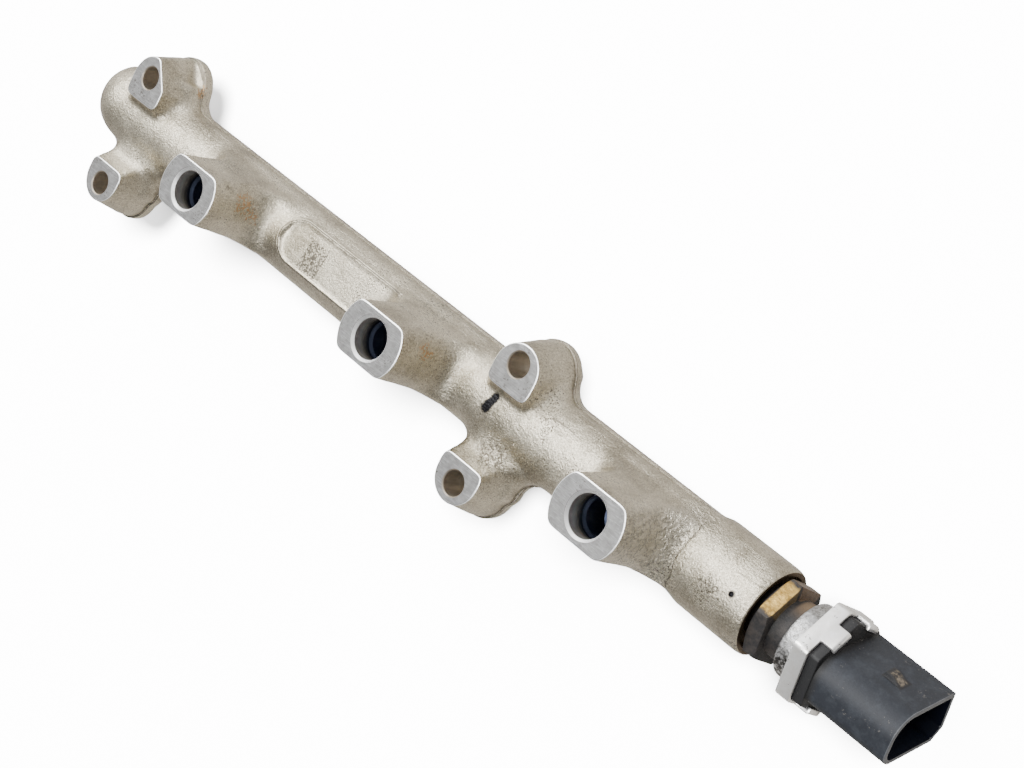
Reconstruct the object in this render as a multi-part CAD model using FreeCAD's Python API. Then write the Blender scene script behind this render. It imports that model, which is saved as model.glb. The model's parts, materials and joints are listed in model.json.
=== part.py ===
import FreeCAD, Part
import math
import os

# Fuel rail of a three-cylinder direct-injection engine, with its pressure sensor. Millimetres.
# Origin: centre of the middle injector cup's mouth. +X along the rail to the sensor,
# +Z out of the cup mouths, +Y to the side with the bolt bosses that sit close to the rail.

# Rail tube
cylinder_pitch = 82.0
cup_count = 3
axis_depth = 31.0
tube_radius = 11.45
main_bore_radius = 4.75
far_bore_gap = 7.3

# Closed far end with the fuel inlet on its back
lobe_offset = 147.3
lobe_side = 1.0
lobe_radius = 12.2
inlet_boss_radius = 10.6
inlet_boss_depth = 14.0
inlet_draft = 3.0

# Collar at the sensor end
collar_radius = 12.3
collar_start = 98.8
collar_end = 120.8
collar_taper = 2.6
collar_chamfer = 0.6

# Injector cups
cup_radius = 11.1
cup_flat = 7.4
cup_corner = 2.0
cup_draft = 5.0
cup_flare_radius = 9.5
cup_flare_angle = 75.0
cup_foot = 2.05
cup_skirt = 4.0
cup_bore_radius = 5.5
cup_bore_depth = 6.5
cup_chamfer = 0.4
cup_seat_radius = 4.8
cup_seat_depth = 15.0
orifice_radius = 1.3

# Bolt bosses
boss_drop = 17.0
boss_x = (-133.3, 32.8)
near_side_y = 14.0
far_side_y = -21.5
bolt_radius = 3.45
boss_radius = 7.3
boss_inset = 1.9
near_side_land = 7.4
far_side_land = 6.0
boss_corner = 1.8
boss_draft = 5.7
boss_lean = 1.7
boss_slope = 38.0
boss_back = 3.5

# The first boss on the near side: wider to the outside, bevelled, with a round pad at its back
end_boss_inset = 0.8
bevel_reach = 4.64
bevel_angle = 40.6
pad_radius = 9.3
pad_shift = (-0.6, 0.4)
pad_back = 0.6

# Webs that carry the bosses, as half-ellipses at stations measured from the hole to the rail
web_neck = 7.2
web_swell = 1.4
web_height = 9.0
web_depth = 7.4
web_rise = 0.1
web_fillet = 6.5
web_lead = 1.9
web_trail = 1.8
web_sink = 0.6
web_foot = 4.5
web_stations = (0.0, 22.0, 44.0, 62.0, 78.0)
web_points = 12

# Flat forged land between the first two cups
land_width = 12.2
land_end = -61.5
land_tilt = 8.0
land_depth = 1.7

# Threads and seats of the fuel inlet
inlet_thread_radius = 6.0
inlet_stem_radius = 4.6
inlet_stem_length = 6.0
inlet_length = 9.5
inlet_shoulder_radius = 7.6
inlet_shoulder = 2.0
inlet_chamfer = 0.8
inlet_passage_radius = 1.6
inlet_cone_radius = 4.2
inlet_cone_depth = 4.4

# Sensor seat in the collar
thread_radius = 7.0
seat_start = 102.5
counterbore_radius = 10.6
counterbore_depth = 2.2

# Sensor port: cone nose, stem, hexagon, neck and welding spigot
sensor_clock = 20.0
thread_clearance = 0.15
nose_radius = 3.2
pressure_bore_radius = 1.5
port_gap = 1.0
port_flats = 20.3
port_hex_length = 4.2
port_hex_chamfer = 0.8
neck_radius = 8.0
neck_length = 4.5
spigot_radius = 6.5
spigot_length = 1.5

# Ring under the crimped shell
ring_radius = 10.2
ring_length = 5.0
ring_edge = 0.5

# Crimped sheet-metal shell
shell_flats = 25.4
shell_corner = 1.6
sheet = 1.0
shell_hole_radius = 7.4
shell_wall_height = 4.2
tab_width = 5.8
tab_lip = 0.7
tab_bend = 0.9
tab_normals = (30.0, 150.0, 210.0, 330.0)

# Sensing parts inside
cell_radius = 4.5
cell_length = 5.0
cell_skin = 0.8
carrier_hole_radius = 5.6
carrier_radius = 9.2
carrier_length = 2.0
board_thickness = 1.0
chip_size = 4.0
chip_thickness = 0.8
capacitor_length = 1.6
capacitor_width = 0.8
capacitor_positions = ((-5.0, 2.2), (-5.0, -2.2))
spring_radius = 0.6
inner_clearance = 0.2

# Plastic connector
flange_length = 4.1
flange_corner = 1.2
roof_thickness = 0.6
socket_floor_length = 3.4
socket_length = 20.0
socket_wall = 1.3
socket_top = 7.5
socket_bottom = 6.4
socket_left = 10.0
socket_bulge = 11.0
socket_right = 11.5
socket_top_arc = 6.5
socket_low_arc = 4.0
socket_low_corner = 8.0
socket_bevel = 3.5
latch_position = 11.0
latch_length = 5.0
latch_width = 3.5
latch_height = 1.2
latch_ramp = 3.2
latch_root = 0.2

# Contact pins
pin_count = 3
pin_pitch = 4.0
pin_width = 1.5
pin_thickness = 0.64
pin_reach = 17.5
pin_chamfer = 0.25

# How far a cutter runs past the face it opens
overrun = 1.0


def vec(x, y, z):
    return FreeCAD.Vector(x, y, z)


def lift(shape):
    # Moves a shape made about the X axis to the rail's own axis
    shape.translate(vec(0, 0, -axis_depth))
    return shape


def rod(start, end, radius):
    return Part.makeCylinder(radius, end - start, vec(start, 0, 0), vec(1, 0, 0))


def turned(profile):
    # A solid of revolution about the X axis, from (x, radius) corners
    corners = [vec(x, 0, r) for x, r in profile]
    face = Part.Face(Part.makePolygon(corners + corners[:1]))
    return face.revolve(vec(0, 0, 0), vec(1, 0, 0), 360)


def tapered(point, direction, length, radius, draft):
    end_radius = radius - length * math.tan(math.radians(draft))
    return Part.makeCone(radius, end_radius, length, point, direction)


def cup_positions():
    middle = (cup_count - 1) / 2
    return [(i - middle) * cylinder_pitch for i in range(cup_count)]


def boss_sites():
    # Each boss as (x, y, side, land, inset), side pointing away from the rail
    sites = []
    for x in boss_x:
        near_inset = end_boss_inset if x == boss_x[0] else boss_inset
        sites.append((x, near_side_y, 1, near_side_land, near_inset))
        sites.append((x, far_side_y, -1, far_side_land, boss_inset))
    return sites


def cup_body(x):
    # Drafted turned cup with a concave flare into the top of the tube and a skirt below it,
    # cut by two drafted flats
    draft = math.tan(math.radians(cup_draft))
    swing = math.radians(cup_flare_angle)
    foot = axis_depth - tube_radius + cup_foot
    low = foot + cup_skirt
    flare_start = foot - cup_flare_radius * math.sin(swing)
    arm = cup_radius + flare_start * draft / 2
    corners = []
    for angle in (0, swing / 2, swing):
        corners.append(vec(arm + cup_flare_radius * (1 - math.cos(angle)), 0,
                           -flare_start - cup_flare_radius * math.sin(angle)))
    profile = [
        Part.makeLine(vec(0, 0, 0), vec(cup_radius, 0, 0)),
        Part.makeLine(vec(cup_radius, 0, 0), corners[0]),
        Part.Arc(*corners).toShape(),
        Part.makeLine(corners[2], corners[2] - vec(0, 0, cup_skirt)),
        Part.makeLine(corners[2] - vec(0, 0, cup_skirt), vec(0, 0, -low)),
        Part.makeLine(vec(0, 0, -low), vec(0, 0, 0)),
    ]
    body = Part.Face(Part.Wire(profile)).revolve(vec(0, 0, 0), vec(0, 0, 1), 360)
    low_flat = cup_flat + low * draft
    reach = corners[2].x
    slab = Part.makePolygon([
        vec(-reach, -cup_flat, 0),
        vec(-reach, cup_flat, 0),
        vec(-reach, low_flat, -low),
        vec(-reach, -low_flat, -low),
        vec(-reach, -cup_flat, 0),
    ])
    body = body.common(Part.Face(slab).extrude(vec(2 * reach, 0, 0)))
    body = body.makeFillet(cup_corner, [e for e in body.Edges if is_cup_corner(e)])
    body.translate(vec(x, 0, 0))
    return body


def is_cup_corner(edge):
    box = edge.BoundBox
    return box.ZLength > 1 and abs(edge.CenterOfMass.x) > 1 and abs(edge.CenterOfMass.y) > cup_flat


def boss_outline(site, grow, lean, run, z):
    # Round outside, straight sides and a flat land towards the rail
    x, y, side, land, inset = site
    radius = boss_radius + grow
    centre = y - side * (inset - lean)
    inner = y - side * (land + run)
    corner = boss_corner
    diagonal = corner * (1 - math.sqrt(0.5))
    outer_right = vec(x + radius, centre, z)
    outer_left = vec(x - radius, centre, z)
    top = vec(x, centre + side * radius, z)
    side_left = vec(x - radius, inner + side * corner, z)
    side_right = vec(x + radius, inner + side * corner, z)
    land_left = vec(x - radius + corner, inner, z)
    land_right = vec(x + radius - corner, inner, z)
    bend_left = vec(x - radius + diagonal, inner + side * diagonal, z)
    bend_right = vec(x + radius - diagonal, inner + side * diagonal, z)
    edges = [
        Part.Arc(outer_right, top, outer_left).toShape(),
        Part.makeLine(outer_left, side_left),
        Part.Arc(side_left, bend_left, land_left).toShape(),
        Part.makeLine(land_left, land_right),
        Part.Arc(land_right, bend_right, side_right).toShape(),
        Part.makeLine(side_right, outer_right),
    ]
    return Part.Wire(edges)


def boss_body(site):
    # Drafted both ways from the parting plane, with a steep inner flank down to the rail
    height = axis_depth - boss_drop
    draft = math.tan(math.radians(boss_draft))
    run = height * math.tan(math.radians(boss_slope))
    face = boss_outline(site, 0, 0, 0, -boss_drop)
    parting = boss_outline(site, height * draft, boss_lean, run, -axis_depth)
    back = boss_outline(site, (height - boss_back) * draft, boss_lean, run, -axis_depth - boss_back)
    body = Part.makeLoft([face, parting], True, True).fuse(Part.makeLoft([parting, back], True, True))
    x, y, side, land, inset = site
    if inset == end_boss_inset:
        body = body.cut(boss_bevel(x, y)).fuse(boss_pad(x, y))
    return body


def boss_bevel(x, y):
    # Cutter for the straight, drafted flank on the sensor side of the end boss
    height = axis_depth - boss_drop
    width = boss_radius * 4
    cutter = Part.makeBox(width, width, height + overrun, vec(0, -width / 2, -height))
    cutter.rotate(vec(0, 0, 0), vec(0, 1, 0), -boss_draft)
    cutter.translate(vec(bevel_reach, 0, 0))
    cutter.rotate(vec(0, 0, 0), vec(0, 0, 1), bevel_angle)
    cutter.translate(vec(x, y, -boss_drop))
    return cutter


def boss_pad(x, y):
    # Round pad below the parting plane of the end boss
    centre = vec(x + pad_shift[0], y + pad_shift[1], -axis_depth)
    return Part.makeCylinder(pad_radius, boss_back + pad_back, centre, vec(0, 0, -1))


def oval_wire(x, y, back_width, front_width, swell):
    # A closed smooth oval in a plane across Y, each quarter with its own reach
    points = []
    for k in range(web_points):
        angle = math.tau * k / web_points
        wide = front_width if math.cos(angle) > 0 else back_width
        tall = (web_height if math.sin(angle) > 0 else web_depth) + swell
        points.append(vec(x + wide * math.cos(angle), y, -axis_depth + tall * math.sin(angle)))
    curve = Part.BSplineCurve()
    curve.interpolate(points, True)
    return Part.Wire([curve.toShape()])


def web_body(x, y, side):
    # A bell that widens with a concave fillet from the boss to the side of the tube,
    # then runs straight on into the tube; on the far side it trails towards the sensor
    lead = web_lead if side < 0 else 0
    trail = web_trail if side < 0 else 1
    root = side * (tube_radius - web_sink)
    wires = []
    if abs(y) - boss_inset > abs(root) + web_fillet:
        wires.append(oval_wire(x, y, web_neck, web_neck + lead, 0))
    for angle in web_stations:
        swing = math.radians(angle)
        away = web_fillet * (1 - math.sin(swing))
        spread = web_fillet * (1 - math.cos(swing))
        back_width = web_neck + web_swell + spread
        front_width = web_neck + web_swell + lead + spread * trail
        wires.append(oval_wire(x, root + side * away, back_width, front_width, spread * web_rise))
    bell = Part.makeLoft(wires, True, False)
    foot = Part.Face(wires[-1]).extrude(vec(0, -side * web_foot, 0))
    return bell.fuse(foot)


def rail_forging():
    # Tube, collar, closed far end, cups, bosses and webs as one forging
    start = -lobe_offset
    collar_edge = collar_end - collar_chamfer
    tube = turned([
        (start, 0),
        (start, tube_radius),
        (collar_start - collar_taper, tube_radius),
        (collar_start, collar_radius),
        (collar_edge, collar_radius),
        (collar_end, collar_radius - collar_chamfer),
        (collar_end, 0),
    ])
    lift(tube)
    pieces = []
    lobe_centre = vec(start, lobe_side, -axis_depth)
    pieces.append(Part.makeSphere(lobe_radius, lobe_centre))
    inlet_top = vec(start, 0, -axis_depth)
    pieces.append(tapered(inlet_top, vec(0, 0, -1), inlet_boss_depth, inlet_boss_radius, inlet_draft))
    for x in cup_positions():
        pieces.append(cup_body(x))
    for site in boss_sites():
        pieces.append(boss_body(site))
        pieces.append(web_body(*site[:3]))
    return tube.cut(flat_land()).multiFuse(pieces)


def flat_land():
    # Cutter for the flat with a round end, which runs up to the middle cup
    end = land_width / 2
    length = -land_end - end
    box = Part.makeBox(length, land_width, tube_radius, vec(-length, -land_width / 2, 0))
    cutter = box.fuse(Part.makeCylinder(end, tube_radius, vec(-length, 0, 0)))
    cutter.translate(vec(0, 0, tube_radius - land_depth))
    cutter.rotate(vec(0, 0, 0), vec(1, 0, 0), -land_tilt)
    return lift(cutter)


def rail_bores():
    # Everything that is drilled and turned into the forging
    cutters = []
    lobe_x = -lobe_offset
    bore_start = lobe_x + far_bore_gap
    seat_end = seat_start + thread_radius - main_bore_radius
    bore_profile = [
        (bore_start, 0),
        (bore_start, main_bore_radius),
        (seat_start, main_bore_radius),
        (seat_end, thread_radius),
        (collar_end - counterbore_depth, thread_radius),
        (collar_end - counterbore_depth, counterbore_radius),
        (collar_end + overrun, counterbore_radius),
        (collar_end + overrun, 0),
    ]
    cutters.append(lift(turned(bore_profile)))
    down = vec(0, 0, -1)
    for x in cup_positions():
        cutters.append(Part.makeCylinder(cup_bore_radius, cup_bore_depth, vec(x, 0, 0), down))
        cutters.append(Part.makeCone(cup_bore_radius + cup_chamfer, cup_bore_radius, cup_chamfer, vec(x, 0, 0), down))
        cutters.append(Part.makeCylinder(cup_seat_radius, cup_seat_depth, vec(x, 0, 0), down))
        cutters.append(Part.makeCylinder(orifice_radius, axis_depth, vec(x, 0, 0), down))
    for x, y, side, land, inset in boss_sites():
        cutters.append(Part.makeCylinder(bolt_radius, axis_depth, vec(x, y, -boss_drop + overrun), down))
    inlet_mouth = -axis_depth - inlet_boss_depth
    seat = vec(lobe_x, 0, inlet_mouth + inlet_stem_length)
    cutters.append(Part.makeCylinder(inlet_stem_radius, inlet_stem_length, seat, down))
    cutters.append(Part.makeCylinder(inlet_passage_radius, inlet_boss_depth, vec(lobe_x, 0, -axis_depth), down))
    cutters.append(lift(rod(lobe_x, bore_start, inlet_passage_radius)))
    return cutters


def rail_body():
    return rail_forging().cut(rail_bores()).removeSplitter()


def inlet_nipple():
    # Turned fitting: stem in the forging, shoulder, threaded end with a cone for the fuel pipe
    body = turned([
        (-inlet_stem_length, inlet_passage_radius),
        (-inlet_stem_length, inlet_stem_radius),
        (0, inlet_stem_radius),
        (0, inlet_shoulder_radius),
        (inlet_shoulder, inlet_shoulder_radius),
        (inlet_shoulder, inlet_thread_radius),
        (inlet_length - inlet_chamfer, inlet_thread_radius),
        (inlet_length, inlet_thread_radius - inlet_chamfer),
        (inlet_length, inlet_cone_radius),
        (inlet_length - inlet_cone_depth, inlet_passage_radius),
    ])
    body.rotate(vec(0, 0, 0), vec(0, 1, 0), 90)
    body.translate(vec(-lobe_offset, 0, -axis_depth - inlet_boss_depth))
    return body


# Stations along the rail's axis, from the collar to the connector's mouth
port_start = collar_end + port_gap
port_neck = port_start + port_hex_length
spigot_start = port_neck + neck_length
spigot_end = spigot_start + spigot_length
shell_start = spigot_start + ring_length
shell_floor = shell_start + sheet
shell_edge = shell_start + shell_wall_height
carrier_end = shell_floor + carrier_length
board_end = carrier_end + board_thickness
flange_end = carrier_end + flange_length
roof = flange_end - roof_thickness
socket_floor = flange_end + socket_floor_length
mouth = socket_floor + socket_length


def seated(shape):
    # Turns a sensor piece to its clock position and sets it on the rail's axis
    shape.rotate(vec(0, 0, 0), vec(1, 0, 0), sensor_clock)
    return lift(shape)


def hexagon(start, end, across_flats, corner=0):
    # A hexagonal bar along X with a corner on +Y
    reach = across_flats / math.sqrt(3)
    corners = []
    for k in range(6):
        angle = math.radians(60 * k)
        corners.append(vec(start, reach * math.cos(angle), reach * math.sin(angle)))
    bar = Part.Face(Part.makePolygon(corners + corners[:1])).extrude(vec(end - start, 0, 0))
    if corner:
        bar = bar.makeFillet(corner, [e for e in bar.Edges if abs(e.tangentAt(e.FirstParameter).x) > 0.99])
    return bar


def sensor_port():
    stem_radius = thread_radius - thread_clearance
    nose_start = seat_start - main_bore_radius + nose_radius
    nose_end = seat_start - main_bore_radius + stem_radius
    cell_seat = spigot_end
    core = turned([
        (nose_start, pressure_bore_radius),
        (nose_start, nose_radius),
        (nose_end, stem_radius),
        (port_start + overrun, stem_radius),
        (port_start + overrun, neck_radius),
        (spigot_start, neck_radius),
        (spigot_start, spigot_radius),
        (cell_seat, spigot_radius),
        (cell_seat, pressure_bore_radius),
    ])
    reach = port_flats / math.sqrt(3)
    bevel = turned([
        (port_start, 0),
        (port_start, reach - port_hex_chamfer * 2),
        (port_start + port_hex_chamfer, reach),
        (port_neck - port_hex_chamfer / 2, reach),
        (port_neck, reach - port_hex_chamfer),
        (port_neck, 0),
    ])
    nut = hexagon(port_start, port_neck, port_flats).common(bevel)
    nut = nut.cut(rod(port_start - overrun, port_neck + overrun, pressure_bore_radius))
    return seated(core.fuse(nut).removeSplitter())


def housing_base():
    # Solid ring welded to the port's spigot, which carries the shell
    ring = turned([
        (spigot_start, spigot_radius),
        (spigot_start, ring_radius - ring_edge),
        (spigot_start + ring_edge, ring_radius),
        (shell_start - ring_edge, ring_radius),
        (shell_start, ring_radius - ring_edge),
        (shell_start, spigot_radius),
    ])
    return seated(ring)


def crimp_tab(normal):
    # A tongue of the shell's wall, folded in over the connector's flange
    outer = shell_flats / 2
    wall = Part.makeBox(flange_end + sheet - shell_edge, sheet, tab_width,
                        vec(shell_edge, outer - sheet, -tab_width / 2))
    lip = Part.makeBox(sheet, tab_lip + sheet, tab_width,
                       vec(flange_end, outer - sheet - tab_lip, -tab_width / 2))
    tab = wall.fuse(lip).removeSplitter()
    bend = [e for e in tab.Edges if is_outer_bend(e, outer)]
    tab = tab.makeFillet(tab_bend, bend)
    tab.rotate(vec(0, 0, 0), vec(1, 0, 0), normal)
    return tab


def is_outer_bend(edge, outer):
    centre = edge.CenterOfMass
    return abs(centre.x - flange_end - sheet) < 1e-6 and abs(centre.y - outer) < 1e-6


def sensor_shell():
    cup = hexagon(shell_start, shell_edge, shell_flats, shell_corner)
    inside = hexagon(shell_floor, shell_edge + overrun, shell_flats - 2 * sheet, shell_corner - sheet / 2)
    cup = cup.cut([inside, rod(shell_start - overrun, shell_floor + overrun, shell_hole_radius)])
    cup = cup.multiFuse([crimp_tab(normal) for normal in tab_normals])
    return seated(cup.removeSplitter())


def socket_outline(x):
    # Flat top with one square corner, a round far side and a bevelled near side
    side = math.sqrt(0.5)
    top_centre = vec(x, socket_top - socket_top_arc, socket_right - socket_top_arc)
    low_centre = vec(x, -socket_bottom + socket_low_arc, socket_right - socket_low_arc)
    top_start = top_centre + vec(0, socket_top_arc, 0)
    top_middle = top_centre + vec(0, socket_top_arc * side, socket_top_arc * side)
    top_end = top_centre + vec(0, 0, socket_top_arc)
    low_start = low_centre + vec(0, 0, socket_low_arc)
    low_middle = low_centre + vec(0, -socket_low_arc * side, socket_low_arc * side)
    low_end = low_centre + vec(0, -socket_low_arc, 0)
    bevel_a = vec(x, -socket_bottom, -socket_low_corner)
    bevel_b = vec(x, -socket_bottom + socket_bevel, -socket_bulge)
    corner = vec(x, socket_top, -socket_left)
    edges = [
        Part.makeLine(corner, top_start),
        Part.Arc(top_start, top_middle, top_end).toShape(),
        Part.makeLine(top_end, low_start),
        Part.Arc(low_start, low_middle, low_end).toShape(),
        Part.makeLine(low_end, bevel_a),
        Part.makeLine(bevel_a, bevel_b),
        Part.makeLine(bevel_b, corner),
    ]
    return Part.Face(Part.Wire(edges))


def latch_lug():
    # Ramp that the mating plug's clip rides over
    start = flange_end + latch_position
    base = socket_top - latch_root
    top = socket_top + latch_height
    left = -latch_width / 2
    points = [
        vec(start, base, left),
        vec(start, top, left),
        vec(start + latch_length - latch_ramp, top, left),
        vec(start + latch_length, base, left),
    ]
    face = Part.Face(Part.makePolygon(points + points[:1]))
    return face.extrude(vec(0, 0, latch_width))


def pin_rows():
    middle = (pin_count - 1) / 2
    return [(i - middle) * pin_pitch for i in range(pin_count)]


def pin_blank(start, end, place):
    corner = vec(start, -pin_thickness / 2, place - pin_width / 2)
    return Part.makeBox(end - start, pin_thickness, pin_width, corner)


def connector_housing():
    inner_flats = shell_flats - 2 * sheet
    flange = hexagon(carrier_end, flange_end, inner_flats, flange_corner)
    outline = socket_outline(flange_end)
    shroud = outline.extrude(vec(mouth - flange_end, 0, 0))
    cavity = outline.makeOffset2D(-socket_wall).extrude(vec(mouth, 0, 0))
    cavity.translate(vec(socket_floor - flange_end, 0, 0))
    housing = flange.multiFuse([shroud, latch_lug()])
    chamber = rod(carrier_end - overrun, roof, carrier_radius + inner_clearance)
    slots = [pin_blank(roof - overrun, socket_floor + overrun, place) for place in pin_rows()]
    return seated(housing.cut([cavity, chamber] + slots).removeSplitter())


def terminal_pin(place):
    # Flat blade with a pointed tip, flush with the roof of the sensor chamber
    end = roof + pin_reach
    blade = pin_blank(roof, end, place)
    tip = [e for e in blade.Edges if abs(e.CenterOfMass.x - end) < 1e-6]
    return seated(blade.makeChamfer(pin_chamfer, tip))


def sensing_cell():
    # Cap with a thin top that the fuel pressure bends
    cap = turned([
        (spigot_end, pressure_bore_radius),
        (spigot_end, cell_radius),
        (spigot_end + cell_length, cell_radius),
        (spigot_end + cell_length, 0),
        (spigot_end + cell_length - cell_skin, 0),
        (spigot_end + cell_length - cell_skin, pressure_bore_radius),
    ])
    return seated(cap)


def seal_ring():
    outer = shell_flats / 2 - sheet
    return seated(turned([
        (shell_floor, carrier_radius),
        (shell_floor, outer - inner_clearance),
        (carrier_end, outer - inner_clearance),
        (carrier_end, carrier_radius),
    ]))


def board_carrier():
    return seated(turned([
        (shell_floor, carrier_hole_radius),
        (shell_floor, carrier_radius),
        (carrier_end, carrier_radius),
        (carrier_end, carrier_hole_radius),
    ]))


def circuit_board():
    return seated(rod(carrier_end, board_end, carrier_radius))


def signal_chip():
    corner = vec(carrier_end - chip_thickness, -chip_size / 2, -chip_size / 2)
    return seated(Part.makeBox(chip_thickness, chip_size, chip_size, corner))


def board_capacitor(side, place):
    corner = vec(board_end, side - capacitor_width / 2, place - capacitor_length / 2)
    return seated(Part.makeBox(capacitor_width, capacitor_width, capacitor_length, corner))


def contact_spring(place):
    # Spring contact between the board and the foot of a pin
    body = rod(board_end, roof, spring_radius)
    body.translate(vec(0, 0, place))
    return seated(body)


def save(name, shape):
    solid = shape.Solids[0]
    solid.exportStep(f"parts/{name}.step")
    box = solid.BoundBox
    print(name, len(shape.Solids), solid.isValid(), round(solid.Volume, 1),
          [round(v, 2) for v in (box.XMin, box.XMax, box.YMin, box.YMax, box.ZMin, box.ZMax)])


os.makedirs("parts", exist_ok=True)
save("rail_body", rail_body())
save("inlet_nipple", inlet_nipple())
save("sensor_port", sensor_port())
save("housing_base", housing_base())
save("sensor_shell", sensor_shell())
save("sensing_cell", sensing_cell())
save("seal_ring", seal_ring())
save("board_carrier", board_carrier())
save("circuit_board", circuit_board())
save("signal_chip", signal_chip())
for number, (side, place) in enumerate(capacitor_positions, 1):
    save(f"board_capacitor_{number}", board_capacitor(side, place))
save("connector_housing", connector_housing())
for number, place in enumerate(pin_rows(), 1):
    save(f"contact_spring_{number}", contact_spring(place))
    save(f"terminal_pin_{number}", terminal_pin(place))
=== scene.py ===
import json
import math
import bmesh
import bpy
from mathutils import Matrix, Vector


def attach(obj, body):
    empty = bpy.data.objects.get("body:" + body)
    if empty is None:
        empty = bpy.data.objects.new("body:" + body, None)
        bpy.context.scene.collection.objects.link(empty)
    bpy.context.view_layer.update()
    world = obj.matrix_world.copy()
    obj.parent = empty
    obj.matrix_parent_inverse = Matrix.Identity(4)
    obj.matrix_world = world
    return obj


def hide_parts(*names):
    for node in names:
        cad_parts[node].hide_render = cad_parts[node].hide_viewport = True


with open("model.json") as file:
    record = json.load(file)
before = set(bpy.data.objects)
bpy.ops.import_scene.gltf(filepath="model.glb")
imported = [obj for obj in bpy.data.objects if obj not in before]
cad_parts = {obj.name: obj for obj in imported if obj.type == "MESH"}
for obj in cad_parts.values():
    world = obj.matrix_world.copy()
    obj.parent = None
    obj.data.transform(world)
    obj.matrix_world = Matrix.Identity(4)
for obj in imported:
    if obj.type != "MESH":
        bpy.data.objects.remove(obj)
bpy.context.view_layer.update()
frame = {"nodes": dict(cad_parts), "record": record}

mm = 0.001
axisZ = -31.0 * mm                  # height of the rail's own axis
sharpAngle = math.radians(28)       # steeper edges are shaded sharp
scene = bpy.context.scene

# What a user would change on the forging, in millimetres
rail = {
    "cups": (-82.0, 0.0, 82.0),
    "bosses": ((-133.3, 14.0), (-133.3, -21.5), (32.8, 14.0), (32.8, -21.5)),
    "bossFace": -17.0,
    "bossBack": -34.5,
    "collarEnd": 120.8,
    "voxel": 0.63,
    "rawStock": 2.5,                # how far machined faces stand up before they are cut
    "cupPlug": (-27.0, 1.5, 6.3),   # start, end and radius of what fills a bore meanwhile
    "bossPlug": (0.05, 1.5, 4.0),
    "borePlugs": (((-141, 0, -31), (122.5, 0, -31), 7.6), ((117.5, 0, -31), (122.5, 0, -31), 11.2),
                  ((-147.3, 0, -44.5), (-147.3, 0, -31), 5.2)),
    "softRounds": 9,
    "creaseRounds": 16,
    "cupCrease": ((12.5, 24), (-27, -14), 11.5),   # distance from the cup, height and half width
    "webCrease": (19, 3, -19.5),    # half length, distance inside the bolt hole, and height
    "partingTop": -30.75,
    "partingBand": 0.12,
    "partingStep": 0.5,
    "partingReach": 4.0,
    "partingEnd": 94.0,
    "partingFade": 6.0,
    "cupCut": (15.0, 13.0, 6.0),    # half length, half width and height of the cutter
    "bossCut": (12.0, 5.0),
    "bossInner": (5.5, -14.5),      # where the cut starts on the near and the far side
    "rimWidth": 0.32,               # bevel round the machined faces
    "rimDrop": 0.14,
    "landWidth": 12.2,
    "landEnd": -61.5,
    "landStop": -14.0,
    "landTilt": 8.0,
    "ridge": 0.45,
    "ridgeWidth": 0.7,
    "pits": ((40.8, -4.3, 11.45, 0.45), (115, 1.4, 12.3, 0.6), (-52, 3.1, 9.9, 0.3)),
    # height above a face or the collar's end, and radius
    "cupBore": [(2, 0), (2, 6.25), (0, 6.25), (-0.7, 5.5), (-6.5, 5.5), (-7.2, 4.8), (-15, 4.8),
                (-16.6, 1.3), (-25, 1.3), (-25, 0)],
    "boltBore": [(2, 0), (2, 3.75), (0, 3.75), (-0.3, 3.45), (-22, 3.45), (-22, 0)],
    "sensorSeat": [(5, 0), (5, 16), (-0.6, 16), (-0.6, 12.3), (0, 11.7), (0, 10.6), (-2.2, 10.6),
                   (-2.2, 7), (-16.05, 7), (-18.3, 4.75), (-60.8, 4.75), (-60.8, 0)],
}


def rodInto(bm, start, end, radius):
    # closed cylinder between two points, in millimetres
    a = Vector(start) * mm
    b = Vector(end) * mm
    turn = (b - a).to_track_quat("Z", "Y").to_matrix().to_4x4()
    place = Matrix.Translation((a + b) / 2) @ turn
    bmesh.ops.create_cone(bm, cap_ends=True, cap_tris=False, segments=64, radius1=radius * mm,
                          radius2=radius * mm, depth=(b - a).length, matrix=place)


def boxInto(bm, low, high):
    low = Vector(low) * mm
    high = Vector(high) * mm
    place = Matrix.Translation((low + high) / 2) @ Matrix.Diagonal((*(high - low), 1))
    bmesh.ops.create_cube(bm, size=1, matrix=place)


def latheInto(bm, profile, centre, axis, segments):
    # full turn of (distance along axis, radius) corners about an axis through centre
    turn = Vector(axis).to_track_quat("Z", "Y").to_matrix().to_4x4()
    place = Matrix.Translation(Vector(centre) * mm) @ turn
    verts = [bm.verts.new(place @ Vector((r * mm, 0, z * mm))) for z, r in profile]
    edges = [bm.edges.new(pair) for pair in zip(verts, verts[1:])]
    bmesh.ops.spin(bm, geom=verts + edges, cent=place.translation, axis=turn @ Vector((0, 0, 1)),
                   angle=math.tau, steps=segments, use_merge=True, use_duplicate=False)
    bmesh.ops.remove_doubles(bm, verts=bm.verts, dist=1e-7)


def copyNode(name):
    bm = bmesh.new()
    bm.from_mesh(frame["nodes"][name].data)
    bmesh.ops.remove_doubles(bm, verts=bm.verts, dist=2e-6)
    return bm


def makeObject(name, bm):
    mesh = bpy.data.meshes.new(name)
    bm.to_mesh(mesh)
    bm.free()
    piece = bpy.data.objects.new(name, mesh)
    scene.collection.objects.link(piece)
    return piece


def dropObject(piece):
    mesh = piece.data
    bpy.data.objects.remove(piece)
    bpy.data.meshes.remove(mesh)


def withModifier(bm, kind, settings):
    # runs one modifier on a bmesh and returns the result as a new bmesh
    piece = makeObject("shaping", bm)
    modifier = piece.modifiers.new("shape", kind)
    for key, value in settings.items():
        setattr(modifier, key, value)
    shaped = piece.evaluated_get(bpy.context.evaluated_depsgraph_get()).to_mesh()
    result = bmesh.new()
    result.from_mesh(shaped)
    dropObject(piece)
    return result


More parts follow.
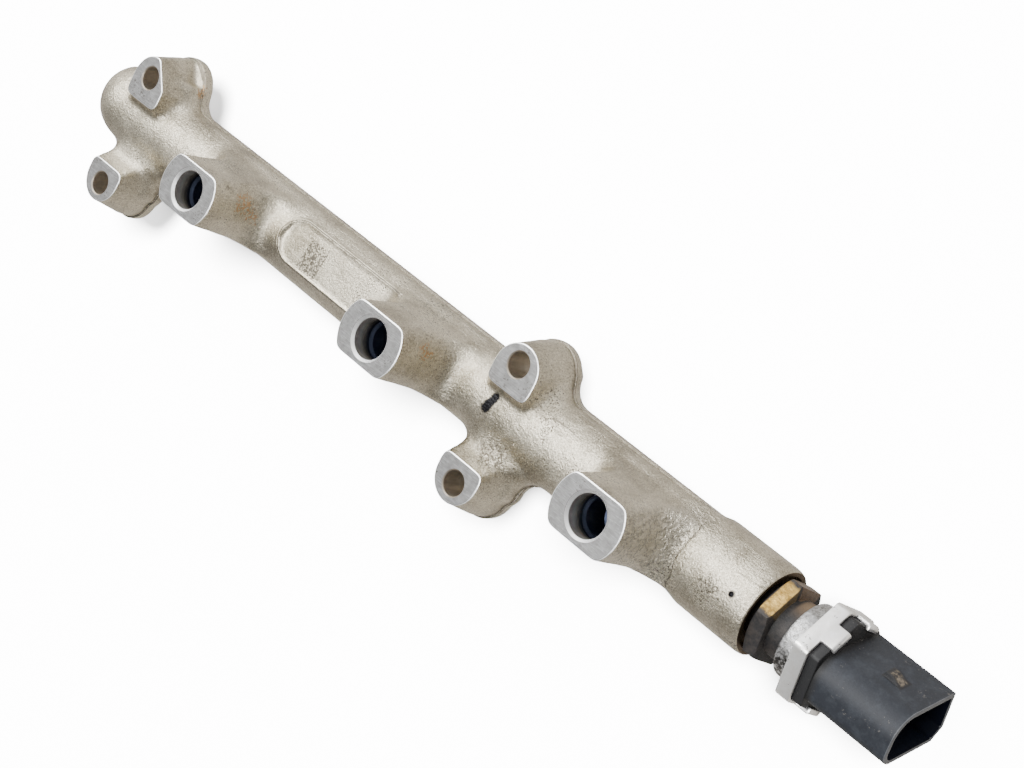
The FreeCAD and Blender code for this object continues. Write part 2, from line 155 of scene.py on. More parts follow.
def cutAway(bm, cutter):
    tool = makeObject("cutter", cutter)
    settings = {"operation": "DIFFERENCE", "solver": "MANIFOLD", "object": tool}
    result = withModifier(bm, "BOOLEAN", settings)
    dropObject(tool)
    return result


def raiseFaces(bm, axis, level):
    # lifts the faces that lie in one plane, so that smoothing can't round the edges cut later
    there = [f for f in bm.faces if all(abs(v.co[axis] - level * mm) < 1e-5 for v in f.verts)]
    moved = bmesh.ops.extrude_face_region(bm, geom=there)["geom"]
    shift = Vector((0, 0, 0))
    shift[axis] = rail["rawStock"] * mm
    bmesh.ops.translate(bm, vec=shift, verts=[g for g in moved if isinstance(g, bmesh.types.BMVert)])


def forgingBlank():
    bm = copyNode("rail_body")
    for axis, level in ((2, 0.0), (2, rail["bossFace"]), (0, rail["collarEnd"])):
        raiseFaces(bm, axis, level)
    start, end, radius = rail["cupPlug"]
    for x in rail["cups"]:
        rodInto(bm, (x, 0, start), (x, 0, end), radius)
    start, end, radius = rail["bossPlug"]
    for x, y in rail["bosses"]:
        rodInto(bm, (x, y, rail["bossBack"] + start), (x, y, rail["bossFace"] + end), radius)
    for start, end, radius in rail["borePlugs"]:
        rodInto(bm, start, end, radius)
    return withModifier(bm, "REMESH", {"mode": "VOXEL", "voxel_size": rail["voxel"] * mm})


def smoothRounds(bm, verts, rounds):
    for _ in range(rounds):
        bmesh.ops.smooth_vert(bm, verts=verts, factor=0.5, use_axis_x=True, use_axis_y=True,
                              use_axis_z=True)


def nearCrease(co):
    # where the cups' flares and the bosses run into the tube
    x, y, z = co / mm
    (near, far), (low, high), width = rail["cupCrease"]
    if near < min(abs(x - c) for c in rail["cups"]) < far and low < z < high and abs(y) < width:
        return True
    length, inside, height = rail["webCrease"]
    return any(abs(x - bx) < length and abs(y) < abs(by) - inside and z < height and y * by > -30
               for bx, by in rail["bosses"])


def landRidge(bm):
    # soft bead around the flat forged land, strongest along its outline
    half = rail["landWidth"] / 2
    tilt = Matrix.Rotation(math.radians(rail["landTilt"]), 3, "X")
    middle = rail["landEnd"] + half
    for v in bm.verts:
        x, y, z = tilt @ ((v.co - Vector((0, 0, axisZ))) / mm)
        if z < 6 or not rail["landEnd"] - 3 < x < rail["landStop"]:
            continue
        away = (math.hypot(x - middle, y) if x < middle else abs(y)) - half
        bead = math.exp(-((away - 0.3) / rail["ridgeWidth"]) ** 2)
        v.co += v.normal * rail["ridge"] * bead * mm


def partingLine(bm):
    # the upper half of the forging stands a little back from the lower one
    top = rail["partingTop"] * mm
    for level in (top, top - rail["partingBand"] * mm):
        geometry = bm.verts[:] + bm.edges[:] + bm.faces[:]
        bmesh.ops.bisect_plane(bm, geom=geometry, dist=1e-7, plane_co=(0, 0, level), plane_no=(0, 0, 1))
    bm.normal_update()
    depth = rail["partingReach"] * mm
    end = rail["partingEnd"] * mm
    for v in bm.verts:
        rise = v.co.z - top + 0.02 * mm
        if rise < 0 or rise > depth or v.co.x > end:
            continue
        outward = Vector((v.normal.x, v.normal.y, 0))
        ease = (1 - rise / depth) * min(1, (end - v.co.x) / (rail["partingFade"] * mm))
        v.co -= outward * rail["partingStep"] * mm * ease


def faceCutter():
    # cuts a little deep; breakRims brings the faces back to their height
    cutter = bmesh.new()
    drop = rail["rimDrop"]
    length, width, height = rail["cupCut"]
    for x in rail["cups"]:
        boxInto(cutter, (x - length, -width, -drop), (x + length, width, height))
    length, height = rail["bossCut"]
    face = rail["bossFace"]
    for x, y in rail["bosses"]:
        inner = rail["bossInner"][0 if y > 0 else 1]
        outer = y * 1.8
        boxInto(cutter, (x - length, min(inner, outer), face - drop),
                (x + length, max(inner, outer), face + height))
    return cutter


def breakRims(bm):
    levels = [(level - rail["rimDrop"]) * mm for level in (0.0, rail["bossFace"])]
    flat = [f for f in bm.faces if f.normal.z > 0.9999
            and any(all(abs(v.co.z - level) < 1e-6 for v in f.verts) for level in levels)]
    bmesh.ops.inset_region(bm, faces=flat, thickness=rail["rimWidth"] * mm, depth=rail["rimDrop"] * mm,
                           use_even_offset=True, use_boundary=True)
    return bm


def boreCutter():
    cutter = bmesh.new()
    for x in rail["cups"]:
        latheInto(cutter, rail["cupBore"], (x, 0, 0), (0, 0, 1), 96)
    for x, y in rail["bosses"]:
        latheInto(cutter, rail["boltBore"], (x, y, rail["bossFace"]), (0, 0, 1), 64)
    return cutter


def endCutter():
    cutter = bmesh.new()
    latheInto(cutter, rail["sensorSeat"], (rail["collarEnd"], 0, axisZ / mm), (1, 0, 0), 128)
    return cutter


def pitCutter():
    # small pits in the skin: place along and across, radius of the surface there, own radius
    cutter = bmesh.new()
    for x, y, surface, radius in rail["pits"]:
        height = axisZ / mm + math.sqrt(surface ** 2 - y ** 2)
        place = Matrix.Translation(Vector((x, y, height)) * mm)
        bmesh.ops.create_icosphere(cutter, subdivisions=2, radius=radius * mm, matrix=place)
    return cutter


def skinOf(face):
    # 0 forged skin, 1 machined faces, 2 bores
    x, y, z = face.calc_center_median() / mm
    cupAway = min(math.hypot(x - c, y) for c in rail["cups"])
    bossAway = min(math.hypot(x - bx, y - by) for bx, by in rail["bosses"])
    axisAway = math.hypot(y, z - axisZ / mm)
    if x > 98 and (axisAway < 10.9 or x > rail["collarEnd"] - 0.02):
        return 2
    offFace = abs(z - rail["bossFace"])
    if face.normal.z > 0.99 and min(abs(z), offFace) < 0.02:
        return 1
    if face.normal.z > 0.8 and (abs(z) < rail["rimDrop"] or bossAway < 10 and offFace < rail["rimDrop"]):
        return 1
    if cupAway < 6.3 and z > -27:
        return 2 if cupAway < 5.6 else 1
    return 2 if bossAway < 3.8 and z > -40 else 0


def markFaces(bm):
    for f in bm.faces:
        f.smooth = True
        f.material_index = skinOf(f)
    for e in bm.edges:
        cut = any(f.material_index for f in e.link_faces)
        e.smooth = e.calc_face_angle(0) < (math.radians(12) if cut else sharpAngle)


def makeRail():
    bm = forgingBlank()
    smoothRounds(bm, bm.verts, rail["softRounds"])
    smoothRounds(bm, [v for v in bm.verts if nearCrease(v.co)], rail["creaseRounds"])
    bm.normal_update()
    landRidge(bm)
    partingLine(bm)
    bm = breakRims(cutAway(bm, faceCutter()))
    for cutter in (boreCutter(), endCutter(), pitCutter()):
        bm = cutAway(bm, cutter)
    bm.normal_update()
    markFaces(bm)
    piece = makeObject("railForging", bm)
    print("rail forging", len(piece.data.polygons), "faces")
    return piece


railPiece = makeRail()
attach(railPiece, "root")
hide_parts("rail_body")


# Copies of the sensor's outer pieces with their sharp edges broken, in millimetres
brokenEdge = {"sensor_shell": 0.28, "connector_housing": 0.3, "housing_base": 0.7, "sensor_port": 0.2}
slotOf = {part["node"]: part["material_slot"] for part in frame["record"]["subparts"]}


def standIn(name, bm):
    piece = makeObject(name + "Look", bm)
    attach(piece, "root")
    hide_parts(name)
    return piece


def breakEdges(name, width):
    bm = copyNode(name)
    bmesh.ops.dissolve_limit(bm, angle_limit=math.radians(0.5), verts=bm.verts, edges=bm.edges)
    sharp = [e for e in bm.edges if e.is_manifold and e.calc_face_angle(0) > math.radians(32)]
    bmesh.ops.bevel(bm, geom=sharp, offset=width * mm, offset_type="OFFSET", segments=2, profile=0.5,
                    affect="EDGES", clamp_overlap=True, material=-1)
    bmesh.ops.recalc_face_normals(bm, faces=bm.faces)
    for f in bm.faces:
        f.smooth = True
    for e in bm.edges:
        e.smooth = e.calc_face_angle(0) < sharpAngle
    return standIn(name, bm)


# Inlet nipple, (distance out of the forging, radius) in millimetres
inlet = {
    "seat": (-147.3, 0, -45.0),
    "inner": [(5.1, 1.6), (-6, 1.6), (-6, 4.6), (0, 4.6), (0, 7.35), (0.25, 7.6), (1.75, 7.6),
              (2, 7.35), (2, 5.1)],
    "outer": [(9.0, 5.7), (9.5, 5.2), (9.5, 4.2), (5.1, 1.6)],
    "threadStart": 2.6,
    "pitch": 1.5,
    "turns": 4,
    "crest": 6.0,
    "root": 5.1,
    "crestFrom": 0.42,              # share of the pitch
    "crestTo": 0.58,
}


def inletNipple():
    profile = list(inlet["inner"])
    ring = ((0.0, "root"), (inlet["crestFrom"], "crest"), (inlet["crestTo"], "crest"), (1.0, "root"))
    for turn in range(inlet["turns"]):
        start = inlet["threadStart"] + turn * inlet["pitch"]
        profile += [(start + share * inlet["pitch"], inlet[radius]) for share, radius in ring]
    bm = bmesh.new()
    latheInto(bm, profile + inlet["outer"], inlet["seat"], (0, 0, -1), 96)
    bmesh.ops.recalc_face_normals(bm, faces=bm.faces)
    return bm


# Where the plug's socket starts, its floor ends and its rim begins
socket = {"start": 0.1457, "floor": 0.1463, "rim": 0.1656}


def markSocket(mesh):
    # 1 inside of the socket, painted dark as shade, 2 its rim, painted pale as a highlight
    for face in mesh.polygons:
        x, y, z = face.center
        outward = face.normal.y * y + face.normal.z * (z - axisZ)
        if x > socket["start"] and outward < 0 and abs(face.normal.x) < 0.5:
            face.material_index = 1
        elif socket["start"] < x < socket["floor"] and face.normal.x > 0.5:
            face.material_index = 1
        elif x > socket["rim"] and face.normal.x > 0.3:
            face.material_index = 2


crisp = {name: breakEdges(name, width) for name, width in brokenEdge.items()}
crisp["inlet_nipple"] = standIn("inlet_nipple", inletNipple())
markSocket(crisp["connector_housing"].data)
print("sensor pieces set")


# Shader helpers
def wire(tree, value, socket):
    # a number, a colour or another node's output into one input
    if isinstance(value, bpy.types.NodeSocket):
        tree.links.new(value, socket)
    elif isinstance(value, tuple) and len(value) == 3 and socket.type == "RGBA":
        socket.default_value = (*value, 1)
    else:
        socket.default_value = value


def rampNode(tree, factor, stops):
    ramp = tree.nodes.new("ShaderNodeValToRGB")
    for place, shade in stops[2:]:
        ramp.color_ramp.elements.new(place)
    for element, (place, shade) in zip(ramp.color_ramp.elements, stops):
        element.position = place
        element.color = (*shade, 1) if isinstance(shade, tuple) else (shade, shade, shade, 1)
    wire(tree, factor, ramp.inputs["Fac"])
    return ramp.outputs["Color"]


def mathNode(tree, operation, first, second=0.0, clamp=False):
    node = tree.nodes.new("ShaderNodeMath")
    node.operation = operation
    node.use_clamp = clamp
    wire(tree, first, node.inputs[0])
    wire(tree, second, node.inputs[1])
    return node.outputs[0]


def times(tree, first, *others):
    for other in others:
        first = mathNode(tree, "MULTIPLY", first, other)
    return first


def plus(tree, first, second):
    return mathNode(tree, "ADD", first, second)


def minus(tree, first, second):
    return mathNode(tree, "SUBTRACT", first, second)


def most(tree, first, second):
    return mathNode(tree, "MAXIMUM", first, second)


def above(tree, value, limit):
    return mathNode(tree, "GREATER_THAN", value, limit)


def below(tree, value, limit):
    return mathNode(tree, "LESS_THAN", value, limit)


def mixShade(tree, factor, first, second):
    node = tree.nodes.new("ShaderNodeMix")
    node.data_type = "RGBA"
    wire(tree, factor, node.inputs[0])
    wire(tree, first, node.inputs[6])
    wire(tree, second, node.inputs[7])
    return node.outputs[2]


def smoothStep(tree, value, low, high):
    node = tree.nodes.new("ShaderNodeMapRange")
    node.interpolation_type = "SMOOTHSTEP"
    for socket, number in zip(node.inputs, (value, low, high, 0.0, 1.0)):
        wire(tree, number, socket)
    return node.outputs[0]


def band(tree, value, low, high, soft):
    # 1 between two values, with soft ends
    rise = smoothStep(tree, value, low - soft, low + soft)
    fall = smoothStep(tree, value, high - soft, high + soft)
    return times(tree, rise, minus(tree, 1.0, fall))


def objectCoords(tree):
    return tree.nodes.new("ShaderNodeTexCoord").outputs["Object"]


def axes(tree, coords):
    split = tree.nodes.new("ShaderNodeSeparateXYZ")
    wire(tree, coords, split.inputs[0])
    return split.outputs


def noiseOf(tree, coords, scale, detail=3.0, roughness=0.55):
    noise = tree.nodes.new("ShaderNodeTexNoise")
    for name, value in (("Scale", scale), ("Detail", detail), ("Roughness", roughness), ("Vector", coords)):
        wire(tree, value, noise.inputs[name])
    return noise.outputs["Fac"]


def stretched(tree, coords, turn, scale):
    # coordinates for brushed or drawn-out marks, turned about Z in degrees
    mapping = tree.nodes.new("ShaderNodeMapping")
    mapping.inputs["Rotation"].default_value = (0, 0, math.radians(turn))
    mapping.inputs["Scale"].default_value = scale
    wire(tree, coords, mapping.inputs["Vector"])
    return mapping.outputs[0]


def newGroup(name, inputs, result):
    group = bpy.data.node_groups.new(name, "ShaderNodeTree")
    for label, value in inputs.items():
        kind = "NodeSocketVector" if value is None else "NodeSocketFloat"
        socket = group.interface.new_socket(label, in_out="INPUT", socket_type=kind)
        if value is not None:
            socket.default_value = value
    group.interface.new_socket(result, in_out="OUTPUT", socket_type="NodeSocketFloat")
    return group, group.nodes.new("NodeGroupInput").outputs, group.nodes.new("NodeGroupOutput").inputs[0]


def useGroup(tree, group, **values):
    node = tree.nodes.new("ShaderNodeGroup")
    node.node_tree = group
    for name, value in values.items():
        wire(tree, value, node.inputs[name])
    return node.outputs[0]


def specklesGroup():
    # fine dark specks that gather in patches
    group, given, result = newGroup("specks", {"Vector": None, "Size": 2000.0, "Patch": 80.0,
                                               "Amount": 0.5}, "Mask")
    fine = noiseOf(group, given["Vector"], given["Size"], 2.0, 0.6)
    patch = noiseOf(group, given["Vector"], given["Patch"], 4.0, 0.6)
    gather = smoothStep(group, patch, 0.42, 0.68)
    limit = minus(group, 0.78, times(group, gather, given["Amount"]))
    over = minus(group, fine, limit)
    wire(group, mathNode(group, "MULTIPLY", over, 14.0, True), result)
    return group


def spotGroup():
    # ragged soft-edged spot around one point
    group, given, result = newGroup("spot", {"Vector": None, "Centre": None, "Radius": 0.003,
                                             "Ragged": 0.5}, "Mask")
    away = group.nodes.new("ShaderNodeVectorMath")
    away.operation = "DISTANCE"
    wire(group, given["Vector"], away.inputs[0])
    wire(group, given["Centre"], away.inputs[1])
    edge = minus(group, noiseOf(group, given["Vector"], 450.0, 4.0, 0.7), 0.5)
    shift = times(group, edge, given["Ragged"], 4.0)
    share = plus(group, mathNode(group, "DIVIDE", away.outputs["Value"], given["Radius"]), shift)
    wire(group, minus(group, 1.0, smoothStep(group, share, 0.5, 1.1)), result)
    return group


def grainGroup():
    # height of a blasted surface: sharp fine grain over a softer coarse one
    group, given, result = newGroup("grain", {"Vector": None, "Size": 1500.0}, "Height")
    fine = noiseOf(group, given["Vector"], given["Size"], 3.0, 0.65)
    coarse = noiseOf(group, given["Vector"], times(group, given["Size"], 0.3), 2.0, 0.5)
    wire(group, plus(group, fine, times(group, coarse, 0.6)), result)
    return group


def cracksGroup():
    # thin crooked dark lines where a noise crosses its middle
    group, given, result = newGroup("cracks", {"Vector": None, "Size": 300.0, "Width": 0.012}, "Mask")
    field = noiseOf(group, given["Vector"], given["Size"], 5.0, 0.65)
    line = mathNode(group, "ABSOLUTE", minus(group, field, 0.5))
    share = mathNode(group, "DIVIDE", line, given["Width"])
    wire(group, mathNode(group, "SUBTRACT", 1.0, share, True), result)
    return group


specks = specklesGroup()
spot = spotGroup()
grain = grainGroup()
cracks = cracksGroup()


def newMaterial(name, metallic, roughness):
    material = bpy.data.materials.new(name)
    material.use_nodes = True
    tree = material.node_tree
    shader = tree.nodes["Principled BSDF"]
    shader.inputs["Metallic"].default_value = metallic
    shader.inputs["Roughness"].default_value = roughness
    return material, tree, shader


def tint(tree, shade, mask, strength, colour):
    return mixShade(tree, times(tree, mask, strength), shade, colour)


def coverShade(tree, shader, shade, pattern=None, roughness=None):
    # base colour, and a roughness of (lowest value, share of a pattern)
    wire(tree, shade, shader.inputs["Base Color"])
    if roughness:
        low, share = roughness
        wire(tree, plus(tree, low, times(tree, pattern, share)), shader.inputs["Roughness"])


def bumpInto(tree, shader, height, bump):
    strength, distance = bump
    node = tree.nodes.new("ShaderNodeBump")
    node.inputs["Strength"].default_value = strength
    node.inputs["Distance"].default_value = distance
    wire(tree, height, node.inputs["Height"])
    wire(tree, node.outputs["Normal"], shader.inputs["Normal"])


# The forging's skin; lengths in metres
forged = {
    "dark": (0.34, 0.303, 0.230),
    "light": (0.635, 0.580, 0.463),
    "darkGrain": (0.13, 0.115, 0.09),
    "paleGrain": (0.84, 0.785, 0.65),
    "paleBesideWrinkles": (0.64, 0.60, 0.51),
    "dirt": (0.040, 0.033, 0.024),
    "rust": (0.44, 0.27, 0.13),
    # near-black for the marker stroke, and painted shade in the pit by the collar
    "inkAndPitShade": (0.018, 0.018, 0.02),
    "dots": (0.06, 0.052, 0.042),
    "roughness": (0.27, 0.14),
    "bump": (0.65, 0.0004),
    "dotCell": 0.00043,
    "dotShare": 0.55,
    "dotsAlong": (-0.0516, -0.0438),
    "dotsAcross": (-0.0043, 0.0048),
    "landAlong": (-0.0660, -0.0130),
    "landBottom": -0.0260,
    "lapAt": (0.0996, 0.0999),
    "wrinklesAlong": (0.0905, 0.0975),
    "seam": (-0.03105, -0.03072),
    "seamEnd": 0.0955,
    "pitShadeSpot": (0.0011, (0.1151, 0.0014, -0.0190)),
    "inkRadius": 0.0017,
    "inkStroke": [(0.0283 + 0.00026 * i, -0.0013 + 0.00078 * i, -0.0196) for i in range(6)],
    "rustSpots": ((0.0036, (-0.0710, 0.0035, -0.0115)), (0.0026, (-0.0705, 0.0010, -0.0155)),
                  (0.0028, (0.0108, 0.0040, -0.0095)), (0.0022, (-0.1247, 0.0168, -0.0300))),
    "dirtSpots": ((0.0055, (0.0365, -0.0100, -0.0215)), (0.0050, (0.1090, -0.0030, -0.0195)),
                  (0.0075, (-0.0039, 0.0101, -0.0257)), (0.0070, (-0.0863, 0.0087, -0.0152)),
                  (0.0040, (0.1190, -0.0098, -0.0245)), (0.0050, (0.0955, -0.0060, -0.0195))),
}


def dotPatch(tree, coords, x, y, z):
    # invented square pattern of small dots on the forged land
    cell = forged["dotCell"]
    snap = tree.nodes.new("ShaderNodeVectorMath")
    snap.operation = "SNAP"
    wire(tree, coords, snap.inputs[0])
    snap.inputs[1].default_value = (cell, cell, 1.0)
    white = tree.nodes.new("ShaderNodeTexWhiteNoise")
    wire(tree, snap.outputs[0], white.inputs["Vector"])
    filled = above(tree, white.outputs["Value"], 1 - forged["dotShare"])
    edge = 0.00005
    along = band(tree, x, *forged["dotsAlong"], edge)
    across = band(tree, y, *forged["dotsAcross"], edge)
    return times(tree, filled, along, across, above(tree, z, forged["landBottom"]))


def landDistance(tree, x, y, z):
    # distance outside the outline of the flat land, negative on it
    half = rail["landWidth"] / 2 * mm
    tilt = math.radians(rail["landTilt"])
    height = plus(tree, z, -axisZ)
    across = minus(tree, times(tree, y, math.cos(tilt)), times(tree, height, math.sin(tilt)))
    before = mathNode(tree, "MINIMUM", minus(tree, x, rail["landEnd"] * mm + half), 0.0)
    squares = plus(tree, times(tree, before, before), times(tree, across, across))
    return minus(tree, mathNode(tree, "SQRT", squares), half)


# dark marks on the skin: dirt, streaks, the seam, a lap and cracks, and painted shade along the land's bead
def forgedDirtAndShade(tree, coords, x, y, z, away):
    dirt = useGroup(tree, specks, Vector=coords, Size=2600.0, Patch=70.0, Amount=0.22)
    fine = smoothStep(tree, noiseOf(tree, coords, 1500.0, 4.0, 0.75), 0.47, 0.58)
    for radius, centre in forged["dirtSpots"]:
        near = useGroup(tree, spot, Vector=coords, Centre=centre, Radius=radius, Ragged=0.6)
        dirt = most(tree, dirt, times(tree, near, fine, 0.8))
    # streaks drawn out along the near side of the tube and the cups' near flanks
    drawn = noiseOf(tree, stretched(tree, coords, -12, (110.0, 1100.0, 700.0)), 1.0, 7.0, 0.75)
    streak = times(tree, smoothStep(tree, drawn, 0.54, 0.66), smoothStep(tree, y, 0.0035, 0.0075))
    patch = smoothStep(tree, noiseOf(tree, coords, 55.0, 2.0), 0.42, 0.58)
    dirt = most(tree, dirt, times(tree, streak, patch, 0.7))
    seam = times(tree, band(tree, z, *forged["seam"], 0.00006), below(tree, x, forged["seamEnd"]))
    dirt = most(tree, dirt, times(tree, seam, 0.9))
    # a lap and wrinkles between the last cup and the collar
    bent = plus(tree, x, times(tree, noiseOf(tree, coords, 120.0, 3.0), 0.0035))
    lap = times(tree, band(tree, bent, *forged["lapAt"], 0.00025), smoothStep(tree, z, -0.0260, -0.0215))
    dirt = most(tree, dirt, times(tree, lap, 0.95))
    # painted shade: a dark line round the forged land stands in for the shade beside its bead
    outline = times(tree, band(tree, away, 0.00035, 0.00075, 0.00012),
                    band(tree, x, *forged["landAlong"], 0.0005), above(tree, z, forged["landBottom"]))
    dirt = most(tree, dirt, times(tree, outline, 0.75))
    crooked = useGroup(tree, cracks, Vector=coords, Size=420.0, Width=0.03)
    place = times(tree, band(tree, x, *forged["wrinklesAlong"], 0.0015),
                  smoothStep(tree, z, -0.0300, -0.0240))
    return most(tree, dirt, times(tree, crooked, place, 0.7))


def forgedHeight(tree, coords, x, z, away, dirt):
    height = useGroup(tree, grain, Vector=coords, Size=1700.0)
    onLand = times(tree, smoothStep(tree, away, 0.0004, -0.0004),
                   band(tree, x, *forged["landAlong"], 0.0005), smoothStep(tree, z, -0.0270, -0.0250))
    height = times(tree, height, minus(tree, 1.0, times(tree, onLand, 0.6)))
    rough = smoothStep(tree, noiseOf(tree, coords, 900.0, 2.0, 0.6), 0.45, 0.56)
    wrinkles = times(tree, band(tree, x, 0.0890, 0.0985, 0.003), rough)
    return minus(tree, minus(tree, height, wrinkles), times(tree, dirt, 0.6))


def forgedSteel():
    material, tree, shader = newMaterial("forgedSteel", 1.0, 0.32)
    coords = objectCoords(tree)
    x, y, z = axes(tree, coords)
    cloud = noiseOf(tree, coords, 70.0, 6.0, 0.68)
    shade = rampNode(tree, cloud, [(0.36, forged["dark"]), (0.62, forged["light"])])
    salt = noiseOf(tree, coords, 2300.0, 2.0, 0.7)
    shade = tint(tree, shade, smoothStep(tree, salt, 0.52, 0.72), 0.55, forged["darkGrain"])
    shade = tint(tree, shade, smoothStep(tree, salt, 0.50, 0.32), 0.50, forged["paleGrain"])
    # lighter colour on the upper tube beside the wrinkles
    paleBesideWrinkles = times(tree, band(tree, x, *forged["wrinklesAlong"], 0.002),
                   smoothStep(tree, z, -0.0290, -0.0230))
    shade = tint(tree, shade, paleBesideWrinkles, 0.5, forged["paleBesideWrinkles"])
    away = landDistance(tree, x, y, z)
    dirt = forgedDirtAndShade(tree, coords, x, y, z, away)
    # dirt, and the painted shade round the land, darken the skin
    shade = tint(tree, shade, dirt, 0.85, forged["dirt"])
    ragged = smoothStep(tree, noiseOf(tree, coords, 1300.0), 0.44, 0.56)
    for radius, centre in forged["rustSpots"]:
        near = useGroup(tree, spot, Vector=coords, Centre=centre, Radius=radius, Ragged=0.7)
        shade = tint(tree, shade, times(tree, near, ragged), 0.8, forged["rust"])
    # painted shade: a near-black spot on the pit by the collar stands in for the shade inside it
    radius, centre = forged["pitShadeSpot"]
    pitShadeSpot = useGroup(tree, spot, Vector=coords, Centre=centre, Radius=radius, Ragged=0.05)
    shade = mixShade(tree, pitShadeSpot, shade, forged["inkAndPitShade"])
    shade = tint(tree, shade, dotPatch(tree, coords, x, y, z), 0.75, forged["dots"])
    for centre in forged["inkStroke"]:
        mark = useGroup(tree, spot, Vector=coords, Centre=centre, Radius=forged["inkRadius"], Ragged=0.25)
        shade = mixShade(tree, mark, shade, forged["inkAndPitShade"])
    coverShade(tree, shader, shade, cloud, forged["roughness"])
    bumpInto(tree, shader, forgedHeight(tree, coords, x, z, away, dirt), forged["bump"])
    return material


machined = {
    "bright": (0.37, 0.37, 0.365),
    "worn": (0.245, 0.24, 0.235),
    "cutterLine": (0.56, 0.56, 0.57),
    "dirt": (0.10, 0.085, 0.07),
    # near-white painted highlight on the rims of the machined faces, and the heights of those rims
    "edge": (0.95, 0.95, 0.94),
    "cupRimHighlight": (-0.00080, -0.00004),
    "bossRimHighlight": (-0.01750, -0.01704),
    "roughness": (0.26, 0.22),
    "bump": (0.35, 0.00015),
}


def machinedSteel():
    # faced with a cutter: fine lines, light wear, a few dark specks, and a painted highlight on the broken
    # edges
    material, tree, shader = newMaterial("machinedSteel", 0.9, 0.36)
    coords = objectCoords(tree)
    z = axes(tree, coords)[2]
    lines = noiseOf(tree, stretched(tree, coords, 35, (300.0, 3600.0, 400.0)), 1.0, 3.0, 0.7)
    wear = noiseOf(tree, coords, 420.0, 6.0, 0.75)
    shade = rampNode(tree, wear, [(0.36, machined["bright"]), (0.66, machined["worn"])])
    shade = tint(tree, shade, smoothStep(tree, lines, 0.48, 0.66), 0.45, machined["cutterLine"])
    dirt = useGroup(tree, specks, Vector=coords, Size=1800.0, Patch=160.0, Amount=0.24)
    shade = tint(tree, shade, dirt, 0.7, machined["dirt"])
    # painted highlight: near-white colour on the rims of the cup and boss faces stands in for the glint on
    # their broken edges
    soft = 0.00002
    edge = most(tree, band(tree, z, *machined["cupRimHighlight"], soft), band(tree, z, *machined["bossRimHighlight"], soft))
    shade = mixShade(tree, edge, shade, machined["edge"])
    coverShade(tree, shader, shade, lines, machined["roughness"])
    bumpInto(tree, shader, lines, machined["bump"])
    return material


bores = {
    "dark": (0.30, 0.265, 0.215),
    "pale": (0.54, 0.49, 0.41),
    # painted shade deep in the cups, and a painted highlight near their mouths
    "paintedDepthShade": (0.020, 0.026, 0.044),
    "mouth": (0.74, 0.71, 0.66),
    "boltHole": (0.52, 0.465, 0.385),
    # dark brown in the sensor's seat and on the collar's end: the darkness is painted shade over a brown tint
    "sensorSeat": (0.13, 0.09, 0.05),
    "bump": (0.2, 0.0002),
}


def boreSteel():
    # cups with a painted highlight at the mouth and painted shade, blue-black, further in; bolt holes pale;
    # the sensor's seat dark brown, partly painted shade
    material, tree, shader = newMaterial("boreSteel", 0.85, 0.34)
    coords = objectCoords(tree)
    x, y, z = axes(tree, coords)
    rings = noiseOf(tree, stretched(tree, coords, 0, (300.0, 300.0, 1500.0)), 1.0, 2.0)
    shade = rampNode(tree, rings, [(0.36, bores["dark"]), (0.64, bores["pale"])])
    isCup = above(tree, z, -0.0165)
    isSeat = times(tree, above(tree, x, 0.098), below(tree, z, -0.0175))
    # painted shade deeper in the cups, then a painted highlight near their mouths
    shade = tint(tree, shade, smoothStep(tree, z, -0.0036, -0.0062), isCup, bores["paintedDepthShade"])
    shade = tint(tree, shade, smoothStep(tree, z, -0.0048, -0.0025), isCup, bores["mouth"])
    shade = mixShade(tree, isCup, bores["boltHole"], shade)
    # painted shade, over a brown tint, in the sensor's seat and on the collar's end
    shade = mixShade(tree, isSeat, shade, bores["sensorSeat"])
    coverShade(tree, shader, shade)
    bumpInto(tree, shader, rings, bores["bump"])
    return material


def aboutAxis(tree, y, z):
    # clock angle round the rail's axis in degrees, from +Y over the top
    return times(tree, mathNode(tree, "ARCTAN2", plus(tree, z, -axisZ), y), 180 / math.pi)


plated = {
    "bright": (0.96, 0.96, 0.95),
    "worn": (0.80, 0.78, 0.74),
    "ringPale": (0.44, 0.44, 0.44),
    "ringDark": (0.21, 0.205, 0.195),
    # grime, also used as painted shade on the ring's lower side
    "grime": (0.035, 0.032, 0.03),
    "ringAlong": (0.1295, 0.1355),
    "grimeAndShadeFrom": (112.0, 140.0),    # clock angle where the grime and the painted shade on the ring's lower side start
    "roughness": (0.18, 0.26),
    "bump": (0.6, 0.0004),
}


